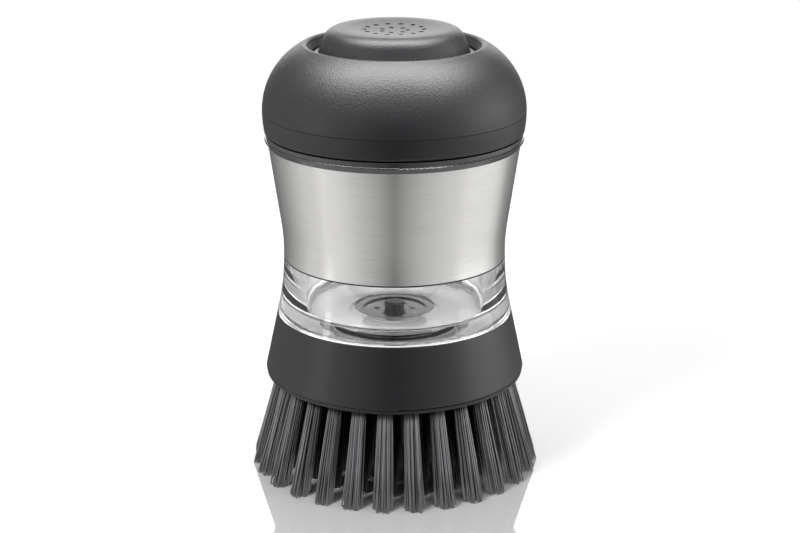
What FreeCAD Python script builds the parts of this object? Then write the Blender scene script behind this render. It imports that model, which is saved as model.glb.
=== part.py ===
import FreeCAD, Part
import Sketcher
import math
import os
import re

# Palm dish brush with a soap pump. The bristle tips stand on z = 0 and the axis of the brush is Z.
# Lengths are in millimetres and angles in degrees.

SIZES = {
    # Bristles: each tuft is folded over an anchor at the bottom of its hole, and its tip is cut flat.
    # The rows lie at shares of the outer row's radius, and each holds as many tufts as the pitch allows.
    "bristle_length": 26.1,
    "tuft_depth": 6.0,
    "tuft_root_radius": 2.0,
    "tuft_tip_radius": 3.05,
    "tuft_clear": 0.05,
    "tuft_pitch": 6.8,
    "row_turn_share": 0.65,
    "outer_row_edge": 4.7,
    "middle_row_share": 0.757,
    "inner_row_share": 0.513,
    "centre_row_share": 0.283,
    "outer_row_lean": 14.5,
    "middle_row_lean": 10.0,
    "inner_row_lean": 6.0,
    "centre_row_lean": 3.0,
    "anchor_height": 1.5,
    "anchor_thick": 0.4,
    "anchor_fold": 1.0,
    "anchor_clear": 0.05,
    # Tuft plate: its rim shows under the shell, its tapered body fills the shell.
    "plate_floor": 2.2,
    "plate_rim_thick": 1.0,
    "plate_rim_inset": 0.3,
    "plate_rim_round": 0.4,
    "nozzle_radius": 2.2,
    # Brush shell: tapered ring, flush with the clear body above it.
    "shell_flare": 3.5,
    "shell_wall": 1.8,
    "shell_rim_wall": 2.9,
    "shell_low_round": 0.5,
    "shell_top_round": 0.25,
    "shell_seam": 0.1,
    # Screw threads of the knob and of the brush head: three short ridges on a steep helix.
    "thread_lead": 12.0,
    "thread_starts": 3,
    "thread_span": 60.0,
    "thread_depth": 1.3,
    "thread_root": 2.0,
    "thread_crest": 1.0,
    "thread_bed": 0.3,
    "thread_clear": 0.4,
    "thread_play": 0.3,
    # Reservoir: thick clear vessel with a flared foot, a funnel floor and a threaded spigot.
    "window_height": 15.5,
    "window_lip_height": 2.0,
    "window_lip_step": 0.07,
    "window_arc_radius": 65.0,
    "foot_flare": 1.9,
    "vessel_wall": 3.4,
    "vessel_rise": 1.2,
    "cavity_draft": 0.6,
    "cavity_round": 2.0,
    "floor_rise": 1.8,
    "floor_fall": 2.2,
    "well_floor": 1.7,
    "spigot_wall": 2.5,
    "spigot_clear": 0.9,
    "spigot_ridge_rise": 1.8,
    "shoulder_clear": 1.7,
    "seal_wall": 2.4,
    # Valve in the floor: perforated seat, umbrella valve with its post, gasket and retaining ring.
    "seat_radius": 8.2,
    "seat_flange_width": 2.8,
    "seat_flange_thick": 1.5,
    "seat_sink": 0.5,
    "seat_recess": 0.5,
    "seat_disc_step": 0.5,
    "seat_wall": 1.0,
    "seat_web": 2.9,
    "seat_skirt": 2.4,
    "seat_clear": 0.2,
    "flow_hole_radius": 0.9,
    "flow_hole_edge": 1.3,
    "flow_hole_count": 6,
    "post_radius": 2.7,
    "post_height": 2.5,
    "post_round": 0.6,
    "valve_stem_radius": 1.4,
    "valve_stem_clear": 0.05,
    "umbrella_clear": 0.6,
    "umbrella_lip": 0.4,
    "umbrella_crown": 1.3,
    "umbrella_crown_radius": 2.0,
    "valve_seal_thick": 0.8,
    "retainer_height": 1.6,
    "retainer_wall": 2.6,
    # Ring seal between the reservoir and the brush head.
    "head_seal_wire_radius": 1.0,
    "head_seal_clear": 0.05,
    "head_seal_sink": 0.2,
    "head_seal_groove_share": 0.15,
    # Steel sleeve: straight lip, waist, round flare and straight flare.
    "sleeve_height": 31.0,
    "sleeve_wall": 0.5,
    "sleeve_fit": 0.43,
    "waist_draw": 0.03,
    "waist_height": 2.2,
    "flare_swell": 0.5,
    "flare_height": 9.2,
    "flare_arc_radius": 50.0,
    "sleeve_flare": 3.16,
    # Neck ring: holds the sleeve down on the vessel and carries the thread of the knob.
    "neck_bevel_height": 1.35,
    "neck_bevel_width": 0.94,
    "neck_bead_height": 0.45,
    "neck_bead_round": 0.38,
    "neck_band_inset": 0.4,
    "neck_band_height": 1.15,
    "neck_band_round": 0.15,
    "neck_clear": 0.1,
    "neck_wall": 1.8,
    "neck_spare": 2.45,
    "neck_plug_depth": 4.0,
    # Knob: collar with the thread, grained dome above it and the gasket on the neck.
    "cap_gap": 0.3,
    "collar_proud": 0.1,
    "collar_swell": 0.4,
    "collar_arc_radius": 30.0,
    "collar_edge": 0.8,
    "collar_wall": 4.0,
    "collar_core_width": 2.0,
    "collar_core_depth": 3.2,
    "collar_ridge_spare": 0.2,
    "collar_step_clear": 0.4,
    "collar_step_height": 1.5,
    "gasket_thick": 1.5,
    "gasket_clear": 0.35,
    "gasket_edge": 0.1,
    "dome_drop": 4.3,
    "dome_arc_radius": 19.8,
    "dome_wall": 2.2,
    "dome_seam_bevel": 0.06,
    "lip_land": 2.8,
    "lip_width": 1.8,
    "lip_drop": 0.6,
    "lip_arc_radius": 1.1,
    "throat_step": 0.1,
    "throat_depth": 2.1,
    "throat_clear": 2.0,
    "throat_wall": 1.5,
    # Pump base: flange on the collar and a tray that hangs in the neck, with the guide of the stem.
    "base_edge": 0.2,
    "base_flange_thick": 1.8,
    "tray_clear": 0.4,
    "tray_wall": 1.6,
    "tray_depth": 7.0,
    "tray_floor": 1.8,
    "guide_wall": 2.1,
    "guide_rise": 2.0,
    "guide_drop": 5.2,
    "air_hole_radius": 1.5,
    "air_hole_edge": 1.6,
    "air_hole_count": 4,
    "screw_radius": 1.0,
    "screw_clear": 0.2,
    "screw_fit": 0.05,
    "screw_edge": 1.7,
    "screw_count": 4,
    "screw_length": 7.0,
    "screw_spare": 0.5,
    "screw_head_radius": 1.8,
    "screw_head_height": 1.2,
    "screw_head_round": 0.5,
    # Bellows: two folds between two cuffs, which grip a ring on the tray and a ring on the carrier.
    # The radius of these rings sets the size of the pump, and of the neck and body round it.
    "cuff_ring_radius": 17.4,
    "cuff_ring_wall": 1.8,
    "cuff_height": 2.4,
    "cuff_clear": 0.05,
    "bellows_room": 4.3,
    "bellows_clear": 0.5,
    "bellows_wall": 0.9,
    "bellows_fold_wall": 1.4,
    "bellows_root_step": 0.2,
    "bellows_fold_round": 0.4,
    # Return spring.
    "spring_wire_radius": 0.5,
    "spring_edge": 0.3,
    "spring_turns": 5,
    "spring_clear": 0.05,
    # Button: dished cap on a carrier with a rim, a plug and the guided stem.
    "button_rise": 4.4,
    "button_height": 6.7,
    "button_gap": 1.7,
    "button_taper": 2.5,
    "button_round": 3.8,
    "button_wall": 3.1,
    "button_top_wall": 1.6,
    "dish_edge": 4.6,
    "dish_depth": 0.75,
    "dimple_radius": 0.7,
    "dimple_depth": 0.9,
    "dimple_outer_share": 0.6,
    "dimple_outer_count": 14,
    "dimple_inner_share": 0.27,
    "dimple_inner_count": 7,
    "rim_clear": 0.4,
    "rim_thick": 1.2,
    "rim_round": 0.3,
    "plug_wall": 2.4,
    "plug_gap": 0.8,
    "plug_clear": 0.05,
    "vent_width": 1.6,
    "vent_depth": 0.6,
    "stem_radius": 3.0,
    "stem_clear": 0.05,
    "stem_end": 0.6,
    "stem_bevel": 0.4,
    "clip_thick": 0.7,
    "clip_depth": 0.7,
    "clip_width": 2.6,
    "clip_clear": 0.05,
    "clip_wrap": 260.0,
    "inlet_edge": 0.6,
    "inlet_stem_radius": 0.75,
    "inlet_bulb_radius": 1.2,
    "inlet_bulb_height": 0.9,
    "inlet_flap_radius": 2.6,
    "inlet_flap_thick": 0.5,
    "inlet_vent_radius": 0.5,
    "inlet_vent_circle": 1.75,
    "inlet_vent_count": 4,
    "vent_turn_share": 0.5,
    "inlet_clear": 0.05,
    # Clearance of pieces that are pressed together, and how far a cut runs past the solid that it cuts.
    "press_clear": 0.05,
    "overrun": 2.0,
}

# Heights, radii and other places that follow from the sizes.
PLACES = {
    # Radii, from the pump outwards to the body, the brush head and the knob.
    "cuff_ring_bore": "cuff_ring_radius - cuff_ring_wall",
    "cuff_radius": "cuff_ring_radius + cuff_clear",
    "tray_bore": "cuff_ring_radius + bellows_room",
    "tray_radius": "tray_bore + tray_wall",
    "neck_bore": "tray_radius + tray_clear",
    "neck_radius": "neck_bore + neck_wall",
    "cavity_top_radius": "neck_radius + neck_clear",
    "cavity_low_radius": "cavity_top_radius - cavity_draft",
    "vessel_radius": "cavity_top_radius + vessel_wall",
    "sleeve_low_radius": "vessel_radius + sleeve_fit + sleeve_wall",
    "waist_radius": "sleeve_low_radius - waist_draw",
    "flare_radius": "waist_radius + flare_swell",
    "sleeve_top_radius": "flare_radius + sleeve_flare",
    "window_lip_radius": "sleeve_low_radius + window_lip_step",
    "shell_top_radius": "window_lip_radius + foot_flare",
    "shell_low_radius": "shell_top_radius + shell_flare",
    "shell_bore": "shell_top_radius - shell_rim_wall",
    "plate_rim_radius": "shell_low_radius - plate_rim_inset",
    "plate_body_low": "shell_low_radius - shell_wall",
    "plate_body_top": "plate_body_low - shell_taper * (plate_top - shell_low)",
    "outer_row_radius": "plate_rim_radius - outer_row_edge",
    "middle_row_radius": "outer_row_radius * middle_row_share",
    "inner_row_radius": "outer_row_radius * inner_row_share",
    "centre_row_radius": "outer_row_radius * centre_row_share",
    "spigot_radius": "shell_bore - thread_clear - thread_depth",
    "spigot_bore": "spigot_radius - spigot_wall",
    "neck_flange_radius": "sleeve_top_radius + neck_bevel_width",
    "neck_band_radius": "neck_flange_radius - neck_band_inset",
    "collar_low_radius": "neck_flange_radius + collar_proud",
    "collar_bore": "neck_radius + thread_depth + thread_clear",
    "collar_skirt_radius": "collar_bore + collar_wall",
    "collar_step_radius": "dome_radius - dome_wall - collar_step_clear",
    "base_flange_radius": "collar_skirt_radius - base_edge",
    "screw_circle": "collar_bore + screw_edge",
    "dome_radius": "collar_low_radius + collar_swell",
    "dome_axis": "dome_radius - dome_arc_radius",
    "dome_hollow": "dome_arc_radius - dome_wall",
    "throat_radius": "tray_bore + throat_step",
    "throat_outer": "throat_radius + throat_wall",
    "lip_radius": "throat_radius + lip_land",
    "rim_radius": "throat_radius - rim_clear",
    "button_low_radius": "throat_radius - button_gap",
    "button_top_radius": "button_low_radius - button_taper",
    "plug_radius": "button_low_radius - button_wall",
    "dish_radius": "button_top_radius - dish_edge",
    "dish_arc_radius": "(dish_radius ^ 2 + dish_depth ^ 2) / (2 * dish_depth)",
    "dimple_outer_circle": "dish_radius * dimple_outer_share",
    "dimple_inner_circle": "dish_radius * dimple_inner_share",
    "bellows_crest_radius": "tray_bore - bellows_clear",
    "bellows_root_radius": "cuff_ring_radius + bellows_root_step",
    "inlet_circle": "cuff_ring_bore - inlet_edge - inlet_flap_radius",
    "spring_radius": "inlet_circle - inlet_flap_radius - spring_edge - spring_wire_radius",
    "air_hole_circle": "cuff_ring_bore - air_hole_edge - air_hole_radius",
    "guide_bore": "stem_radius + stem_clear",
    "guide_radius": "guide_bore + guide_wall",
    "groove_radius": "stem_radius - clip_depth",
    "seat_hole": "seat_radius + seat_clear",
    "seat_bore": "seat_radius - seat_wall",
    "seat_disc_radius": "seat_radius + seat_disc_step",
    "seat_flange_radius": "seat_radius + seat_flange_width",
    "well_radius": "seat_flange_radius + seat_clear",
    "flow_hole_circle": "post_radius + flow_hole_edge + flow_hole_radius",
    "umbrella_radius": "seat_bore - umbrella_clear",
    "retainer_radius": "seat_radius + press_clear + retainer_wall",
    "seal_wall_bore": "retainer_radius + seat_clear",
    "seal_wall_radius": "seal_wall_bore + seal_wall",
    "head_seal_radius": "seal_wall_bore + seal_wall / 2",
    "head_seal_groove": "head_seal_wire_radius * (1 + head_seal_groove_share)",
    # Counts of the tuft rows, and the turn that puts a gap between tufts near the middle of the front.
    "outer_row_count": "floor(2 * pi * outer_row_radius / tuft_pitch)",
    "middle_row_count": "floor(2 * pi * middle_row_radius / tuft_pitch)",
    "inner_row_count": "floor(2 * pi * inner_row_radius / tuft_pitch)",
    "centre_row_count": "floor(2 * pi * centre_row_radius / tuft_pitch)",
    "row_turn": "360 / outer_row_count * row_turn_share",
    # Heights of the brush head, from the bristle tips up to the shoulder of the body.
    "plate_low": "bristle_length",
    "plate_top": "plate_low + tuft_depth + plate_floor",
    "shell_low": "plate_low + plate_rim_thick",
    "thread_climb": "thread_lead * thread_span / 360",
    "ridge_step": "(thread_root + thread_crest) / 2 + thread_play",
    "spigot_low": "plate_top + spigot_clear",
    "spigot_ridge": "spigot_low + spigot_ridge_rise",
    "shell_ridge": "spigot_ridge + ridge_step",
    "shoulder": "shell_ridge + thread_climb + thread_root / 2 + shoulder_clear",
    "shell_top": "shoulder - shell_seam",
    "shell_taper": "shell_flare / (shell_top - shell_low)",
    "head_seal_seat": "plate_top - head_seal_sink",
    "head_seal_height": "head_seal_seat + head_seal_clear + head_seal_wire_radius",
    "seal_wall_low": "head_seal_height + head_seal_wire_radius + head_seal_clear",
    # Heights of the body: the floor with its valve, the window, the sleeve and the neck.
    "floor_edge": "shoulder + floor_rise",
    "floor_centre": "floor_edge - floor_fall",
    "seat_top": "floor_centre - seat_sink",
    "seat_low": "seat_top - seat_flange_thick",
    "well_low": "seat_low - valve_seal_thick",
    "floor_low": "well_low - well_floor",
    "disc_top": "seat_top - seat_recess",
    "web_low": "disc_top - seat_web",
    "seat_end": "web_low - seat_skirt",
    "ledge": "shoulder + window_height",
    "sleeve_top": "ledge + sleeve_height",
    "vessel_top": "sleeve_top + vessel_rise",
    "neck_bevel_top": "sleeve_top + neck_bevel_height",
    "neck_bead_top": "neck_bevel_top + neck_bead_height",
    "neck_band_top": "neck_bead_top + neck_band_height",
    "collar_low": "neck_band_top + cap_gap",
    "collar_ridge": "collar_low + collar_ridge_spare + thread_root / 2",
    "neck_ridge": "collar_ridge + ridge_step",
    "neck_top": "neck_ridge + thread_climb + thread_root / 2 + neck_spare",
    # Heights of the knob: the pump base, the dome and the button.
    "base_low": "neck_top + gasket_thick",
    "base_top": "base_low + base_flange_thick",
    "tray_top": "base_top - tray_depth",
    "tray_low": "tray_top - tray_floor",
    "guide_top": "tray_top + guide_rise",
    "guide_low": "tray_low - guide_drop",
    "equator": "base_low - dome_drop",
    "lip_height": "equator + sqrt(dome_arc_radius ^ 2 - (lip_radius - dome_axis) ^ 2)",
    "throat_top": "lip_height - throat_depth",
    "throat_low": "base_top + throat_clear",
    "throat_root": "equator + sqrt(dome_hollow ^ 2 - (throat_outer - dome_axis) ^ 2)",
    "button_top": "lip_height + button_rise",
    "dish_low": "button_top - dish_depth",
    "rim_top": "button_top - button_height",
    "rim_low": "rim_top - rim_thick",
    "plug_top": "dish_low - button_top_wall - plug_gap",
    "cuff_low_top": "tray_top + cuff_height",
    "cuff_high_low": "rim_low - cuff_height",
    "fold_height": "(cuff_high_low - cuff_low_top) / 4",
    "clip_top": "guide_low - clip_clear",
    "clip_low": "clip_top - clip_thick",
    "groove_top": "clip_top + clip_clear",
    "groove_low": "clip_low - clip_clear",
    "stem_low": "groove_low - stem_end",
}

ROWS = ("outer", "middle", "inner", "centre")

doc = FreeCAD.newDocument("palm_dish_brush")
dims = doc.addObject("Spreadsheet::Sheet", "dims")
for row, (alias, size) in enumerate(SIZES.items(), start=1):
    dims.set(f"A{row}", alias)
    dims.set(f"B{row}", str(size))
    dims.setAlias(f"B{row}", alias)
doc.recompute()

pieces = []


def cells(text):
    """The text of a size or place, with every name turned into its cell of the sheet."""
    def cell(match):
        word = match.group(0)
        if word in PLACES:
            return f"({cells(PLACES[word])})"
        return f"dims.{word}" if word in SIZES else word
    return re.sub(r"[a-z_]+", cell, text)


def size(text):
    return float(dims.evalExpression(cells(text)))


def origin(body, role):
    return next(item for item in body.Origin.OriginFeatures if item.Role == role)


def new_body(label):
    body = doc.addObject("PartDesign::Body", label)
    body.Label = label
    pieces.append(body)
    return body


def new_sketch(body, name, role, height="0"):
    """Empty sketch on one of the body's planes, or above its ground plane."""
    sketch = body.newObject("Sketcher::SketchObject", name)
    sketch.AttachmentSupport = [(origin(body, role), "")]
    sketch.MapMode = "FlatFace"
    if height != "0":
        sketch.setExpression("AttachmentOffset.Base.z", cells(height))
    return sketch


def bind(sketch, constraint, text):
    sketch.setExpression(f"Constraints[{sketch.addConstraint(constraint)}]", cells(text))


def fix_point(sketch, geometry, end, across, up):
    """Ties a point of the sketch to its two coordinates."""
    for kind, axis, text in (("DistanceX", -2, across), ("DistanceY", -1, up)):
        if text == "0":
            sketch.addConstraint(Sketcher.Constraint("PointOnObject", geometry, end, axis))
        else:
            bind(sketch, Sketcher.Constraint(kind, -1, 1, geometry, end, size(text)), text)


def add_arc(sketch, centre, radius, start, finish, clockwise):
    """Arc between two points, with the ends in walking order."""
    first, last = (finish, start) if clockwise else (start, finish)
    circle = Part.Circle(centre, FreeCAD.Vector(0, 0, 1), radius)
    angles = [math.atan2(point.y - centre.y, point.x - centre.x) for point in (first, last)]
    geometry = sketch.addGeometry(Part.ArcOfCircle(circle, *angles))
    return (geometry, 2, 1) if clockwise else (geometry, 1, 2)


def outline(sketch, items):
    """Closed outline. A corner is (across, up) or (across, up, round), and ("arc", radius, side) between
    two corners bends the run between them towards that side of the walk."""
    corners = [item for item in items if item[0] != "arc"]
    bends = {items[at - 1][:2]: item for at, item in enumerate(items) if item[0] == "arc"}
    points = [FreeCAD.Vector(size(item[0]), size(item[1]), 0) for item in corners]
    total = len(corners)
    starts, ends, rounds = {}, {}, {}
    for at, corner in enumerate(corners):
        starts[at] = ends[at] = points[at]
        if len(corner) == 3:
            back = (points[at - 1] - points[at]).normalize()
            ahead = (points[(at + 1) % total] - points[at]).normalize()
            half = back.getAngle(ahead) / 2
            radius = size(corner[2])
            ends[at] = points[at] + back * (radius / math.tan(half))
            starts[at] = points[at] + ahead * (radius / math.tan(half))
            middle = points[at] + (back + ahead).normalize() * (radius / math.sin(half))
            rounds[at] = (middle, radius, back.cross(ahead).z > 0)
    runs = []
    for at in range(total):
        start, finish = starts[at], ends[(at + 1) % total]
        bend = bends.get(corners[at][:2])
        if bend:
            radius = size(bend[1])
            chord = finish - start
            left = FreeCAD.Vector(-chord.y, chord.x, 0).normalize()
            reach = math.sqrt(radius ** 2 - (chord.Length / 2) ** 2)
            towards = -1 if bend[2] == "left" else 1
            middle = start + chord / 2 + left * (reach * towards)
            runs.append(add_arc(sketch, middle, radius, start, finish, bend[2] == "left"))
            bind(sketch, Sketcher.Constraint("Radius", runs[at][0], radius), bend[1])
        else:
            runs.append((sketch.addGeometry(Part.LineSegment(start, finish)), 1, 2))
    for at, corner in enumerate(corners):
        before, after = runs[at - 1], runs[at]
        if at in rounds:
            middle, radius, clockwise = rounds[at]
            arc = add_arc(sketch, middle, radius, ends[at], starts[at], clockwise)
            sketch.addConstraint(Sketcher.Constraint("Tangent", before[0], before[2], arc[0], arc[1]))
            sketch.addConstraint(Sketcher.Constraint("Tangent", arc[0], arc[2], after[0], after[1]))
            bind(sketch, Sketcher.Constraint("Radius", arc[0], radius), corner[2])
            tip = sketch.addGeometry(Part.Point(points[at]), True)
            for line in (before[0], after[0]):
                sketch.addConstraint(Sketcher.Constraint("PointOnObject", tip, 1, line))
            fix_point(sketch, tip, 1, corner[0], corner[1])
        else:
            sketch.addConstraint(Sketcher.Constraint("Coincident", before[0], before[2], after[0], after[1]))
            fix_point(sketch, after[0], after[1], corner[0], corner[1])


def ring(body, name, features, count):
    """Repeats features of a body evenly round the Z axis."""
    pattern = body.newObject("PartDesign::PolarPattern", name)
    pattern.Originals = features
    pattern.Axis = (origin(body, "Z_Axis"), [""])
    pattern.Angle = 360
    pattern.setExpression("Occurrences", cells(count))
    body.Tip = pattern
    doc.recompute()
    return pattern


def turn(body, name, items, angle=None):
    """Solid turned round the Z axis from its half section."""
    sketch = new_sketch(body, f"{name}_section", "XZ_Plane")
    outline(sketch, items)
    turned = body.newObject("PartDesign::Revolution", f"{name}_turned")
    turned.Profile = sketch
    turned.ReferenceAxis = (sketch, ["V_Axis"])
    turned.Angle = 360
    if angle:
        turned.setExpression("Angle", cells(angle))
    doc.recompute()
    return body


def must_shrink(body, before):
    doc.recompute()
    if body.Shape.Volume >= before:
        raise ValueError(f"a cut in {body.Label} removes nothing")


def drill(body, name, radius, top, depth, across="0", along="0"):
    """Round hole from a height downwards."""
    before = body.Shape.Volume
    sketch = new_sketch(body, f"{name}_circle", "XY_Plane", top)
    centre = FreeCAD.Vector(size(across), size(along), 0)
    circle = sketch.addGeometry(Part.Circle(centre, FreeCAD.Vector(0, 0, 1), size(radius)))
    fix_point(sketch, circle, 3, across, along)
    bind(sketch, Sketcher.Constraint("Radius", circle, size(radius)), radius)
    hole = body.newObject("PartDesign::Pocket", name)
    hole.Profile = sketch
    hole.setExpression("Length", cells(depth))
    must_shrink(body, before)
    return hole


def ridges(body, name, inner, outer, inner_height, outer_height, start):
    """Short helical thread ridges, each of a tapered section between two radii."""
    sketch = new_sketch(body, f"{name}_section", "XZ_Plane")
    outline(sketch, [
        (inner, f"{start} - {inner_height} / 2"),
        (outer, f"{start} - {outer_height} / 2"),
        (outer, f"{start} + {outer_height} / 2"),
        (inner, f"{start} + {inner_height} / 2"),
    ])
    ridge = body.newObject("PartDesign::AdditiveHelix", name)
    ridge.Profile = sketch
    ridge.ReferenceAxis = (sketch, ["V_Axis"])
    ridge.Mode = "pitch-turns-angle"
    ridge.setExpression("Pitch", cells("thread_lead"))
    ridge.setExpression("Turns", cells("thread_span / 360"))
    doc.recompute()
    ring(body, f"{name}_starts", [ridge], "thread_starts")


def axis_sketch(body, name, ends, items):
    """Outline beside an axis of its own, which is the construction line of the sketch."""
    sketch = new_sketch(body, name, "XZ_Plane")
    points = [FreeCAD.Vector(size(across), size(up), 0) for across, up in ends]
    axis = sketch.addGeometry(Part.LineSegment(*points), True)
    for end, (across, up) in enumerate(ends, start=1):
        fix_point(sketch, axis, end, across, up)
    outline(sketch, items)
    return sketch


def spin(body, kind, name, section):
    """Revolution or groove round the construction line of its section."""
    before = body.Shape.Volume if kind == "Groove" else None
    spun = body.newObject(f"PartDesign::{kind}", name)
    spun.Profile = section
    spun.ReferenceAxis = (section, ["Axis0"])
    spun.Angle = 360
    doc.recompute()
    if before is not None:
        must_shrink(body, before)
    return spun


def slab(body, kind, name, section, thick):
    """Pad or pocket of equal depth to both sides of its section."""
    flat = body.newObject(f"PartDesign::{kind}", name)
    flat.Profile = section
    flat.Midplane = True
    flat.setExpression("Length", cells(thick))
    doc.recompute()
    return flat


def turn_rows(body):
    """Turns a body of the brush head so that its tuft rows stand as they do at the front."""
    body.setExpression("Placement.Rotation.Angle", cells("row_turn"))


def leaning(row, along, across):
    """Point beside the leaning axis of a row's tufts: along it from the plate's face, and across it."""
    lean = f"{row}_row_lean"
    return (f"{row}_row_radius + ({along}) * sin({lean}) + ({across}) * cos({lean})",
            f"plate_low - ({along}) * cos({lean}) + ({across}) * sin({lean})")


def tuft_sketch(body, name, row, spots):
    """Outline beside the axis of a row's tufts."""
    ends = [leaning(row, "0 - tuft_depth", "0"), leaning(row, "bristle_length", "0")]
    return axis_sketch(body, name, ends, [leaning(row, along, across) for along, across in spots])


# Tuft rows: each tuft is a cylinder in its hole and a widening cone below it, cut flat at the tips.
# Its root is slotted for the anchor plate that it is folded over.
for row in ROWS:
    tufts = new_body(f"{row}_tufts")
    reach = f"bristle_length / cos({row}_row_lean) + tuft_tip_radius * tan({row}_row_lean) + overrun"
    spin(tufts, "Revolution", f"{row}_tuft", tuft_sketch(tufts, f"{row}_tuft_section", row, [
        ("0 - tuft_depth", "0"),
        ("0 - tuft_depth", "tuft_root_radius"),
        ("0", "tuft_root_radius"),
        (reach, "tuft_tip_radius"),
        (reach, "0"),
    ]))
    drill(tufts, f"{row}_tuft_trim", f"{row}_row_radius + bristle_length", "0", "bristle_length")
    whole = tufts.Shape.Volume
    slot_low = "anchor_fold - anchor_clear - tuft_depth"
    slot_top = "anchor_fold + anchor_height + anchor_clear - tuft_depth"
    slab(tufts, "Pocket", f"{row}_tuft_slot", tuft_sketch(tufts, f"{row}_tuft_slot_section", row, [
        (slot_low, "0 - tuft_root_radius - overrun"),
        (slot_low, "tuft_root_radius + overrun"),
        (slot_top, "tuft_root_radius + overrun"),
        (slot_top, "0 - tuft_root_radius - overrun"),
    ]), "anchor_thick + anchor_clear * 2")
    must_shrink(tufts, whole)
    ring(tufts, f"{row}_tuft_row", [], f"{row}_row_count").TransformMode = "Whole shape"
    turn_rows(tufts)

# Anchors: one small flat plate across the root of every tuft.
anchors = new_body("tuft_anchors")
for row in ROWS:
    anchor_low = "anchor_fold - tuft_depth"
    anchor_top = "anchor_fold + anchor_height - tuft_depth"
    anchor = slab(anchors, "Pad", f"{row}_anchor", tuft_sketch(anchors, f"{row}_anchor_section", row, [
        (anchor_low, "0 - tuft_root_radius"),
        (anchor_low, "tuft_root_radius"),
        (anchor_top, "tuft_root_radius"),
        (anchor_top, "0 - tuft_root_radius"),
    ]), "anchor_thick")
    ring(anchors, f"{row}_anchor_row", [anchor], f"{row}_row_count")
turn_rows(anchors)

# Tuft plate: a rim under the shell, a tapered body inside it, the groove of the ring seal, the soap outlet
# in the middle and a leaning hole for every tuft.
plate = turn(new_body("tuft_plate"), "plate", [
    ("nozzle_radius", "plate_low"),
    ("plate_rim_radius", "plate_low", "plate_rim_round"),
    ("plate_rim_radius", "shell_low"),
    ("plate_body_low - press_clear", "shell_low"),
    ("plate_body_top - press_clear", "plate_top"),
    ("head_seal_radius + head_seal_groove", "plate_top"),
    ("head_seal_radius + head_seal_groove", "head_seal_seat"),
    ("head_seal_radius - head_seal_groove", "head_seal_seat"),
    ("head_seal_radius - head_seal_groove", "plate_top"),
    ("nozzle_radius", "plate_top"),
])
for row in ROWS:
    hole = spin(plate, "Groove", f"{row}_hole", tuft_sketch(plate, f"{row}_hole_section", row, [
        ("0 - tuft_depth - tuft_clear", "0"),
        ("0 - tuft_depth - tuft_clear", "tuft_root_radius + tuft_clear"),
        ("overrun", "tuft_root_radius + tuft_clear"),
        ("overrun", "0"),
    ]))
    ring(plate, f"{row}_holes", [hole], f"{row}_row_count")
turn_rows(plate)

# Brush shell: tapered outside, seated on the plate, with thread ridges that hang on the spigot's.
shell = turn(new_body("brush_shell"), "shell", [
    ("plate_body_low", "shell_low"),
    ("shell_low_radius", "shell_low", "shell_low_round"),
    ("shell_top_radius", "shell_top", "shell_top_round"),
    ("shell_bore", "shell_top"),
    ("shell_bore", "plate_top"),
    ("plate_body_top", "plate_top"),
])
ridges(shell, "shell_ridge", "spigot_radius + thread_clear", "shell_bore + thread_bed",
       "thread_crest", "thread_root", "shell_ridge")

# Ring seal in the plate's groove, under the seal wall of the reservoir.
head_seal = doc.addObject("Part::Torus", "head_seal")
head_seal.setExpression("Radius1", cells("head_seal_radius"))
head_seal.setExpression("Radius2", cells("head_seal_wire_radius"))
head_seal.setExpression("Placement.Base.z", cells("head_seal_height"))
pieces.append(head_seal)

# Reservoir: flared window below the ledge that carries the sleeve, straight wall above it, funnel floor
# with a well for the valve seat, and below the floor the seal wall and the threaded spigot.
reservoir = turn(new_body("reservoir"), "reservoir", [
    ("shell_top_radius", "shoulder"),
    ("arc", "window_arc_radius", "left"),
    ("window_lip_radius", "ledge - window_lip_height"),
    ("sleeve_low_radius", "ledge"),
    ("vessel_radius", "ledge"),
    ("vessel_radius", "vessel_top"),
    ("cavity_top_radius", "vessel_top"),
    ("cavity_low_radius", "floor_edge", "cavity_round"),
    ("well_radius", "floor_centre"),
    ("well_radius", "well_low"),
    ("seat_hole", "well_low"),
    ("seat_hole", "floor_low"),
    ("seal_wall_bore", "floor_low"),
    ("seal_wall_bore", "seal_wall_low"),
    ("seal_wall_radius", "seal_wall_low"),
    ("seal_wall_radius", "floor_low"),
    ("spigot_bore", "floor_low"),
    ("spigot_bore", "spigot_low"),
    ("spigot_radius", "spigot_low"),
    ("spigot_radius", "shoulder"),
])
ridges(reservoir, "spigot_ridge", "spigot_radius - thread_bed", "spigot_radius + thread_depth",
       "thread_root", "thread_crest", "spigot_ridge")

# Valve seat: flange in the well, sunk disc with flow holes, and a skirt through the floor.
seat = turn(new_body("valve_seat"), "seat", [
    ("valve_stem_radius + valve_stem_clear", "disc_top"),
    ("valve_stem_radius + valve_stem_clear", "web_low"),
    ("seat_bore", "web_low"),
    ("seat_bore", "seat_end"),
    ("seat_radius", "seat_end"),
    ("seat_radius", "seat_low"),
    ("seat_flange_radius", "seat_low"),
    ("seat_flange_radius", "seat_top"),
    ("seat_disc_radius", "seat_top"),
    ("seat_disc_radius", "disc_top"),
])
flow_hole = drill(seat, "flow_hole", "flow_hole_radius", "disc_top", "seat_web + overrun", "flow_hole_circle")
ring(seat, "flow_holes", [flow_hole], "flow_hole_count")

# Outlet valve: the post above the disc, the stem through it and the umbrella against its underside.
turn(new_body("outlet_valve"), "outlet_valve", [
    ("0", "disc_top + post_height"),
    ("post_radius", "disc_top + post_height", "post_round"),
    ("post_radius", "disc_top"),
    ("valve_stem_radius", "disc_top"),
    ("valve_stem_radius", "web_low"),
    ("umbrella_radius", "web_low"),
    ("umbrella_radius", "web_low - umbrella_lip"),
    ("umbrella_crown_radius", "web_low - umbrella_crown"),
    ("0", "web_low - umbrella_crown"),
])

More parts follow.
